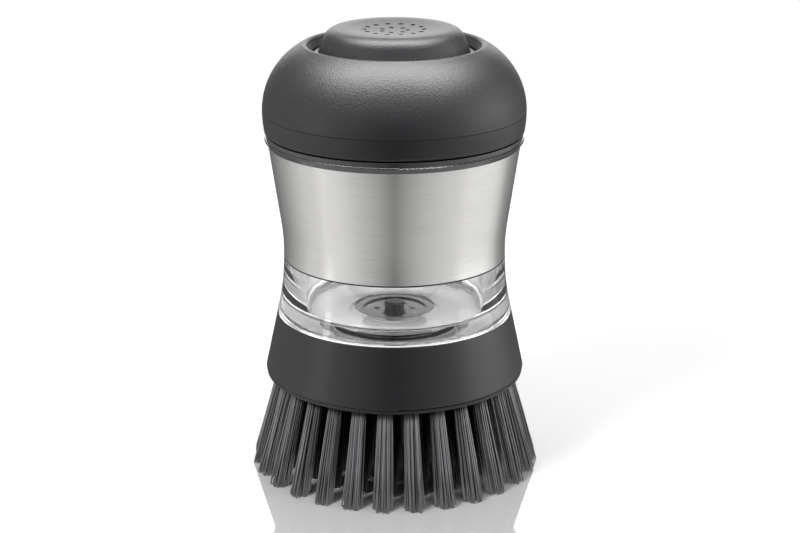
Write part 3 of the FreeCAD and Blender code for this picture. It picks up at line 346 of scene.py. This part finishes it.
def drawn_nylon(name, colour, roughness, index, specular):
    """Nylon, extruded and drawn: a smooth filament with a sheen along it, some a shade paler than others.
    The die's streaks are finer than a pixel and are drawn coarser here."""
    material, tree = new_material(name)
    shade = add_node(tree, "ShaderNodeAttribute", {}, attribute_name="filament_shade")
    where = add_node(tree, "ShaderNodeTexCoord", {})
    streaks_at = add_node(tree, "ShaderNodeMapping", {
        "Vector": where.outputs["Object"],
        "Scale": (1 / FILAMENT_STREAK, 1 / FILAMENT_STREAK, 1 / FILAMENT_STREAK_RUN)})
    streaks = add_node(tree, "ShaderNodeTexNoise", {"Vector": streaks_at.outputs["Vector"], "Scale": 1.0})
    tint = add_node(tree, "ShaderNodeHueSaturation", {
        "Color": linear(colour), "Value": shade.outputs["Fac"]})
    gloss = add_node(tree, "ShaderNodeMapRange", {
        "Value": streaks.outputs["Fac"], "To Min": roughness - 0.1, "To Max": roughness + 0.1})
    body = add_node(tree, "ShaderNodeBsdfPrincipled", {
        "Base Color": tint.outputs["Color"], "Roughness": gloss.outputs["Result"], "IOR": index,
        "Specular IOR Level": specular})
    add_node(tree, "ShaderNodeOutputMaterial", {"Surface": body.outputs["BSDF"]})
    return material


grey_nylon = drawn_nylon("grey_nylon_filament", BRISTLE_COLOUR, roughness=0.36, index=1.8, specular=0.9)
# The inner rows get a near-black, dull nylon: painted shade for the shadow they stand in.
shaded_nylon = drawn_nylon("nylon_filament_painted_shade", INNER_SHADE_COLOUR, roughness=0.6, index=1.5, specular=0.2)
for row, count in TUFTS_PER_ROW.items():
    lean = math.radians(ROW_LEAN[row])
    paths = []
    for tuft in range(count):
        bearing = row_turn + math.tau * tuft / count
        outward = Vector((math.cos(bearing), math.sin(bearing), 0))
        side = Vector((-math.sin(bearing), math.cos(bearing), 0))
        away = outward * math.sin(lean) - Vector((0, 0, math.cos(lean)))
        rise = outward * math.cos(lean) + Vector((0, 0, math.sin(lean)))
        centre = outward * ROW_RADIUS[row] + Vector((0, 0, plate_face))
        for across, up in packed_spots():
            paths.append(filament_path(centre, side, rise, away, lean, TUFT_TIP_RADIUS[row], across, up))
    points, faces = sweep(paths, FILAMENT_RADIUS, FILAMENT_SIDES)
    nylon = grey_nylon if row == "outer_tufts" else shaded_nylon
    filaments = add_piece(row.replace("tufts", "filaments"), points, faces, nylon, "head")
    per_filament = FILAMENT_SIDES * len(FILAMENT_STATIONS)
    shades = []
    for path in paths:
        shades += [chance.uniform(*SHADE_SPAN)] * per_filament
    filaments.data.attributes.new("filament_shade", "FLOAT", "POINT").data.foreach_set("value", shades)
    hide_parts(row)

# Tuft anchors: small plates cut from brass strip, driven into the holes with the tufts folded over them.
# They stay hidden in the plate.
BRASS_COLOUR = "#C9A25A"
ROLLED_GRAIN = 0.2 * MM

# Brass, rolled: a yellow metal whose gloss changes from spot to spot.
brass, tree = new_material("brass_strip_rolled")
where = add_node(tree, "ShaderNodeTexCoord", {})
rolled = add_node(tree, "ShaderNodeTexNoise", {"Vector": where.outputs["Object"], "Scale": 1 / ROLLED_GRAIN})
gloss = add_node(tree, "ShaderNodeMapRange", {"Value": rolled.outputs["Fac"], "To Min": 0.25, "To Max": 0.45})
body = add_node(tree, "ShaderNodeBsdfPrincipled", {
    "Base Color": linear(BRASS_COLOUR), "Metallic": 1.0, "Roughness": gloss.outputs["Result"]})
add_node(tree, "ShaderNodeOutputMaterial", {"Surface": body.outputs["BSDF"]})
dress(brass, "tuft_anchors")

# Pump base: a tray of white acetal that hangs in the neck, held to the collar by four screws, with a
# gasket on the rim of the neck and a guide for the button's stem.
ACETAL_COLOUR = "#E3E3DF"
ACETAL_PIT = 0.008 * MM
WIRE_COLOUR = "#C4C4C2"
DIE_MARK = 0.15 * MM
# Acetal: a white, slightly waxy plastic.
white_acetal = moulded("white_acetal_moulded", ACETAL_COLOUR, ERODED_GRAIN, ACETAL_PIT, roughness=0.4)
dress(white_acetal, "pump_base")
dress(pale_silicone, "cap_gasket")

# Steel of the screws, and of the spring's drawn wire: bright, with small marks of the die.
wire_steel, tree = new_material("spring_steel_drawn_bright")
where = add_node(tree, "ShaderNodeTexCoord", {})
marks = add_node(tree, "ShaderNodeTexNoise", {"Vector": where.outputs["Object"], "Scale": 1 / DIE_MARK})
gloss = add_node(tree, "ShaderNodeMapRange", {"Value": marks.outputs["Fac"], "To Min": 0.16, "To Max": 0.34})
body = add_node(tree, "ShaderNodeBsdfPrincipled", {
    "Base Color": linear(WIRE_COLOUR), "Metallic": 1.0, "Roughness": gloss.outputs["Result"]})
add_node(tree, "ShaderNodeOutputMaterial", {"Surface": body.outputs["BSDF"]})
dress(wire_steel, "cap_screws")

# Bellows: a sleeve of silicone rubber with two folds, whose cuffs grip a ring on the tray and a ring
# under the button.
CUFF_HEIGHT = 2.4 * MM
CUFF_RADIUS = 17.45 * MM
CUFF_WALL = 0.9 * MM
FOLD_CREST = 20.9 * MM
FOLD_ROOT = 17.7 * MM
FOLD_WALL = 1.2 * MM
FOLDS = 2
FOLD_STATIONS = 32
ROUND_STEPS = 96
pump_low, pump_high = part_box("pump_bellows")


def turned(outline, steps):
    """Points and faces of a ring turned round the axis from a closed outline of radius and height."""
    points, faces = [], []
    for step in range(steps):
        angle = math.tau * step / steps
        points += [(radius * math.cos(angle), radius * math.sin(angle), height) for radius, height in outline]
    size = len(outline)
    for step in range(steps):
        here, there = step * size, (step + 1) % steps * size
        for at in range(size):
            over = (at + 1) % size
            faces.append((here + at, there + at, there + over, here + over))
    return points, faces


def fold_line(inset, cuff_radius):
    """Radius and height along one face of the bellows, from the lower cuff to the upper one."""
    line = [(cuff_radius, pump_low.z)]
    low, high = pump_low.z + CUFF_HEIGHT, pump_high.z - CUFF_HEIGHT
    for at in range(FOLD_STATIONS + 1):
        share = at / FOLD_STATIONS
        wave = (1 - math.cos(math.tau * FOLDS * share)) / 2
        inward = math.sin(math.pi * share)
        root = cuff_radius + (FOLD_ROOT - inset - cuff_radius) * inward
        line.append((root + (FOLD_CREST - inset - root) * wave, low + (high - low) * share))
    return line + [(cuff_radius, pump_high.z)]


outline = fold_line(0, CUFF_RADIUS + CUFF_WALL) + fold_line(FOLD_WALL, CUFF_RADIUS)[::-1]
points, faces = turned(outline, ROUND_STEPS)
bellows = add_piece("bellows_folds", points, faces, pale_silicone, "cap")
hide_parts("pump_bellows")
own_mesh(bellows)

# Return spring: five turns of round steel wire, wound cold, inside the bellows.
# It stands on the tray and pushes the button's carrier up.
SPRING_TURNS = 5
SPRING_WIRE = 0.5 * MM
SPRING_SIDES = 10
STATIONS_PER_TURN = 32
spring_low, spring_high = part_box("return_spring")
spring_radius = spring_high.x - SPRING_WIRE
coil = []
for at in range(SPRING_TURNS * STATIONS_PER_TURN + 1):
    angle = math.tau * at / STATIONS_PER_TURN
    climb = at / (SPRING_TURNS * STATIONS_PER_TURN)
    low, high = spring_low.z + SPRING_WIRE, spring_high.z - SPRING_WIRE
    coil.append(Vector((spring_radius * math.cos(angle), spring_radius * math.sin(angle),
                        low + (high - low) * climb)))
points, faces = sweep([coil], SPRING_WIRE, SPRING_SIDES)
spring = add_piece("spring_coil", points, faces, wire_steel, "cap")
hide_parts("return_spring")
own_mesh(spring)

# Button: a dished cap of charcoal ABS with a fine leather grain, pushed onto a pale grey carrier, whose rim
# runs in the throat of the dome. The carrier's stem is held in its guide by a steel clip, and a rubber flap
# lets air in.
BUTTON_COLOUR = "#1A1B1E"
# Near-black painted shade for the dimples in the dish.
DIMPLE_SHADE_COLOUR = "#050506"
CARRIER_COLOUR = "#7E8082"
CARRIER_PIT = 0.004 * MM
LEATHER_CELL = 0.42 * MM
LEATHER_WRINKLE = 0.25 * MM
LEATHER_DEPTH = 0.042 * MM
DISH_RADIUS = 13.0 * MM
DISH_DEPTH = 0.75 * MM
DIMPLE_REACH = 9.5 * MM
DIMPLE_EDGE = 0.05 * MM
dish_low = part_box("push_button")[1].z - DISH_DEPTH


def leather_abs(name, colour):
    """ABS from an etched mould: shallow leathery cells that catch the light as a fine sparkle."""
    material, tree = new_material(name)
    where = add_node(tree, "ShaderNodeTexCoord", {})
    cells = add_node(tree, "ShaderNodeTexVoronoi", {
        "Vector": where.outputs["Object"], "Scale": 1 / LEATHER_CELL, "Smoothness": 0.6}, feature="SMOOTH_F1")
    wrinkles = add_node(tree, "ShaderNodeTexNoise", {
        "Vector": where.outputs["Object"], "Scale": 1 / LEATHER_WRINKLE, "Detail": 2.0})
    height = add_node(tree, "ShaderNodeMath", {
        0: cells.outputs["Distance"], 1: wrinkles.outputs["Fac"]}, operation="ADD")
    cloud = add_node(tree, "ShaderNodeTexNoise", {
        "Vector": where.outputs["Object"], "Scale": 1 / CLOUD_SIZE, "Detail": 2.0})
    tone = add_node(tree, "ShaderNodeMapRange", {
        "Value": cloud.outputs["Fac"], "To Min": 0.88, "To Max": 1.12})
    tint = add_node(tree, "ShaderNodeHueSaturation", {
        "Color": linear(colour), "Value": tone.outputs["Result"]})
    gloss = add_node(tree, "ShaderNodeMapRange", {
        "Value": wrinkles.outputs["Fac"], "To Min": 0.34, "To Max": 0.5})
    relief = add_node(tree, "ShaderNodeBump", {"Height": height.outputs["Value"], "Distance": LEATHER_DEPTH})
    body = add_node(tree, "ShaderNodeBsdfPrincipled", {
        "Base Color": tint.outputs["Color"], "Roughness": gloss.outputs["Result"],
        "Normal": relief.outputs["Normal"]})
    add_node(tree, "ShaderNodeOutputMaterial", {"Surface": body.outputs["BSDF"]})
    return material, tree, where, tint, body


# Painted shade: below the dish, within the dimples' reach, the colour turns almost black for holes that hold
# no light.
button_abs, tree, where, tint, body = leather_abs("charcoal_abs_leather_button", BUTTON_COLOUR)
level = add_node(tree, "ShaderNodeMapping", {"Vector": where.outputs["Object"], "Scale": (1, 1, 0)})
radius = add_node(tree, "ShaderNodeVectorMath", {0: level.outputs["Vector"]}, operation="LENGTH")
square = add_node(tree, "ShaderNodeMath", {0: radius.outputs["Value"], 1: 2.0}, operation="POWER")
rise = add_node(tree, "ShaderNodeMath", {
    0: square.outputs["Value"], 1: DISH_DEPTH / DISH_RADIUS ** 2, 2: dish_low - DIMPLE_EDGE},
    operation="MULTIPLY_ADD")
place = add_node(tree, "ShaderNodeSeparateXYZ", {"Vector": where.outputs["Object"]})
below = add_node(tree, "ShaderNodeMath", {
    0: place.outputs["Z"], 1: rise.outputs["Value"]}, operation="LESS_THAN")
within = add_node(tree, "ShaderNodeMath", {
    0: radius.outputs["Value"], 1: DIMPLE_REACH}, operation="LESS_THAN")
dimple_shade_mask = add_node(tree, "ShaderNodeMath", {
    0: below.outputs["Value"], 1: within.outputs["Value"]}, operation="MULTIPLY")
dimple_shaded = add_node(tree, "ShaderNodeMixRGB", {
    "Fac": dimple_shade_mask.outputs["Value"], "Color1": tint.outputs["Color"], "Color2": linear(DIMPLE_SHADE_COLOUR)})
tree.links.new(dimple_shaded.outputs["Color"], body.inputs["Base Color"])
dress(button_abs, "push_button")
# ABS from a polished mould: a paler grey, glossy ring.
grey_abs = moulded("pale_grey_abs_gloss", CARRIER_COLOUR, ERODED_GRAIN, CARRIER_PIT, roughness=0.28)
dress(grey_abs, "button_carrier")
dress(wire_steel, "stem_clip")
dress(pale_silicone, "air_inlet_valve")

# Knob: a smooth collar of charcoal ABS that screws onto the neck, and a dome of the same plastic with
# the button's leather grain, which is pushed over the collar's step.
DOME_COLOUR = "#141518"
SEAM_EDGE = 0.12 * MM
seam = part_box("dome_cover")[0].z
# The collar's satin ends at its top edge, which is trimmed matt, so the seam shows as a faint line.
collar_abs = smooth_abs.copy()
collar_abs.name = "charcoal_abs_satin_trimmed"
tree = collar_abs.node_tree
body = next(node for node in tree.nodes if node.type == "BSDF_PRINCIPLED")
satin = body.inputs["Roughness"].links[0].from_socket
where = add_node(tree, "ShaderNodeTexCoord", {})
place = add_node(tree, "ShaderNodeSeparateXYZ", {"Vector": where.outputs["Object"]})
matt = add_node(tree, "ShaderNodeMath", {
    0: place.outputs["Z"], 1: seam - SEAM_EDGE}, operation="GREATER_THAN")
gloss = add_node(tree, "ShaderNodeMath", {0: satin, 1: matt.outputs["Value"]}, operation="MAXIMUM")
tree.links.new(gloss.outputs["Value"], body.inputs["Roughness"])
dress(collar_abs, "cap_collar")
dress(leather_abs("charcoal_abs_leather_dome", DOME_COLOUR)[0], "dome_cover")

# Floor: a pale glossy sheet under the brush, which mirrors it faintly and keeps its shadow.
# It fades into the white backdrop.
FLOOR_COLOUR = "#E2E2E2"
FLOOR_SIZE = 1.2
FADE_START = 0.16
FADE_END = 0.42
floor_sheet, tree = new_material("white_acrylic_sheet")
where = add_node(tree, "ShaderNodeTexCoord", {})
reach = add_node(tree, "ShaderNodeVectorMath", {0: where.outputs["Object"]}, operation="LENGTH")
fade = add_node(tree, "ShaderNodeMapRange", {
    "Value": reach.outputs["Value"], "From Min": FADE_START, "From Max": FADE_END},
    interpolation_type="SMOOTHSTEP")
sheet = add_node(tree, "ShaderNodeBsdfPrincipled", {
    "Base Color": linear(FLOOR_COLOUR), "Roughness": 0.06, "IOR": 2.2})
clear_sheet = add_node(tree, "ShaderNodeBsdfTransparent", {})
mixed = add_node(tree, "ShaderNodeMixShader", {
    0: fade.outputs["Result"], 1: sheet.outputs["BSDF"], 2: clear_sheet.outputs["BSDF"]})
add_node(tree, "ShaderNodeOutputMaterial", {"Surface": mixed.outputs["Shader"]})
mesh = bpy.data.meshes.new("floor")
half = FLOOR_SIZE / 2
mesh.from_pydata([(-half, -half, 0), (half, -half, 0), (half, half, 0), (-half, half, 0)], [], [(0, 1, 2, 3)])
mesh.materials.append(floor_sheet)
floor = bpy.data.objects.new("floor", mesh)
bpy.context.scene.collection.objects.link(floor)
floor.visible_glossy = floor.visible_diffuse = False

# Grey cards of the studio, which only reflections show: a wide one below the camera that is darkest in its
# middle, and one to each side at the back that darkens away from the camera.
CARD_DISTANCE = 1.0
CARD_STEPS = 24
FRONT_REACH = 0.9
FRONT_POWER = 0.7
FRONT_DARK_SHARE = 0.05
BACK_NEAR = 0.2
BACK_FAR = 0.95
BACK_LIGHT_SHARE = 0.9
BACK_DARK_SHARE = 0.15
CARDS = {
    # first and last bearing from the front in degrees, lowest and highest edge in metres
    "card_camera": (-64, 64, -0.9, 0.45),
    "card_left": (-172, -100, -0.9, 0.0),
    "card_right": (125, 172, -0.9, 0.0),
    "card_left_high": (-158, -100, 0.0, 0.8),
    "card_right_high": (125, 158, 0.0, 0.8),
}
front_card, tree = new_material("grey_card_front")
where = add_node(tree, "ShaderNodeTexCoord", {})
place = add_node(tree, "ShaderNodeSeparateXYZ", {"Vector": where.outputs["Object"]})
aside = add_node(tree, "ShaderNodeMath", {0: place.outputs["X"]}, operation="ABSOLUTE")
share = add_node(tree, "ShaderNodeMath", {0: aside.outputs["Value"], 1: FRONT_REACH}, operation="DIVIDE")
swell = add_node(tree, "ShaderNodeMath", {0: share.outputs["Value"], 1: FRONT_POWER}, operation="POWER")
level = add_node(tree, "ShaderNodeMapRange", {"Value": swell.outputs["Value"], "To Min": FRONT_DARK_SHARE})
card_light = add_node(tree, "ShaderNodeEmission", {"Strength": level.outputs["Result"]})
add_node(tree, "ShaderNodeOutputMaterial", {"Surface": card_light.outputs["Emission"]})
back_card, tree = new_material("grey_card_back")
where = add_node(tree, "ShaderNodeTexCoord", {})
place = add_node(tree, "ShaderNodeSeparateXYZ", {"Vector": where.outputs["Object"]})
level = add_node(tree, "ShaderNodeMapRange", {
    "Value": place.outputs["Y"], "From Min": BACK_NEAR, "From Max": BACK_FAR,
    "To Min": BACK_LIGHT_SHARE, "To Max": BACK_DARK_SHARE})
card_light = add_node(tree, "ShaderNodeEmission", {"Strength": level.outputs["Result"]})
add_node(tree, "ShaderNodeOutputMaterial", {"Surface": card_light.outputs["Emission"]})
for name, (first, last, low, high) in CARDS.items():
    points = []
    for step in range(CARD_STEPS + 1):
        bearing = math.radians(first + (last - first) * step / CARD_STEPS)
        for height in (low, high):
            points.append((CARD_DISTANCE * math.sin(bearing), -CARD_DISTANCE * math.cos(bearing), height))
    faces = [(2 * step, 2 * step + 2, 2 * step + 3, 2 * step + 1) for step in range(CARD_STEPS)]
    mesh = bpy.data.meshes.new(name)
    mesh.from_pydata(points, [], faces)
    mesh.materials.append(front_card if name == "card_camera" else back_card)
    card = bpy.data.objects.new(name, mesh)
    bpy.context.scene.collection.objects.link(card)
    card.visible_camera = card.visible_diffuse = card.visible_transmission = card.visible_shadow = False

# Lamps of the studio: soft ones that shine on matt surfaces, and bright strips that show only as
# reflections in glossy ones.
SHINE = {
    # place and aim in metres, width and height in metres, power in watts
    "key_left": ((-0.6, -0.6, 0.75), (0.0, 0.0, 0.04), 0.3, 0.3, 7.0),
    "key_right": ((0.95, -0.4, 0.3), (0.0, 0.0, 0.04), 0.5, 0.4, 3.0),
    "overhead": ((0.0, 0.0, 0.8), (0.0, 0.0, 0.1), 0.6, 0.6, 3.0),
}
SHEEN = {
    "strip_top": ((0.0, 0.0, 0.75), (0.0, 0.0, 0.1), 1.0, 0.5, 21.0),
    "strip_left": ((-0.85, -0.55, 0.1), (0.0, 0.0, 0.05), 0.5, 0.35, 1.7),
    "strip_right": ((0.98, -0.05, 0.2), (0.0, 0.0, 0.06), 0.8, 0.6, 2.8),
    "strip_back": ((0.0, 1.2, 0.4), (0.0, 0.0, 0.06), 1.2, 0.5, 3.0),
}
# Only the strip at the back shows in the floor, so that no lamp's edge crosses it from other sides.
FLOOR_STRIP = "strip_back"
unlit = bpy.data.collections.new("floor_without_strips")
unlit.objects.link(floor)
unlit.collection_objects[0].light_linking.link_state = "EXCLUDE"
for name, (place, aim, width, height, power) in (SHINE | SHEEN).items():
    lamp = bpy.data.lights.new(name, "AREA")
    lamp.shape = "RECTANGLE"
    lamp.size, lamp.size_y, lamp.energy = width, height, power
    stand = bpy.data.objects.new(name, lamp)
    stand.location = place
    stand.rotation_euler = (Vector(aim) - Vector(place)).to_track_quat("-Z", "Y").to_euler()
    stand.visible_camera = False
    stand.visible_diffuse = name in SHINE
    stand.visible_glossy = name in SHEEN
    if name in SHEEN and name != FLOOR_STRIP:
        stand.light_linking.receiver_collection = unlit
    bpy.context.scene.collection.objects.link(stand)

# Backdrop: white to the eye, and in metal and clear plastic, and a softer fill for matt surfaces.
FILL_SHARE = 0.1
world = bpy.data.worlds.new("white_backdrop")
bpy.context.scene.world = world
world.use_nodes = True
tree = world.node_tree
tree.nodes.clear()
ray = add_node(tree, "ShaderNodeLightPath", {})
seen = add_node(tree, "ShaderNodeMath", {
    0: ray.outputs["Is Camera Ray"], 1: ray.outputs["Is Glossy Ray"]}, operation="MAXIMUM")
seen = add_node(tree, "ShaderNodeMath", {
    0: seen.outputs["Value"], 1: ray.outputs["Is Transmission Ray"]}, operation="MAXIMUM")
level = add_node(tree, "ShaderNodeMapRange", {"Value": seen.outputs["Value"], "To Min": FILL_SHARE})
backdrop = add_node(tree, "ShaderNodeBackground", {
    "Color": (1, 1, 1, 1), "Strength": level.outputs["Result"]})
add_node(tree, "ShaderNodeOutputWorld", {"Surface": backdrop.outputs["Background"]})

# Camera: a long lens a little above the brush, as in the photograph.
FRAME_WIDTH_PX = 800
FOCUS_PX = 1820
CAMERA_PLACE = Vector((0.0015, -0.4714, 0.2071))
CAMERA_AIM = Vector((0.0015, 0.0, 0.0551))
lens = bpy.data.cameras.new("camera")
lens.lens = FOCUS_PX / FRAME_WIDTH_PX * lens.sensor_width
lens.clip_start = 0.01
camera = bpy.data.objects.new("camera", lens)
camera.location = CAMERA_PLACE
camera.rotation_euler = (CAMERA_AIM - CAMERA_PLACE).to_track_quat("-Z", "Y").to_euler()
bpy.context.scene.collection.objects.link(camera)
bpy.context.scene.camera = camera
bpy.context.scene.view_settings.view_transform = "Standard"
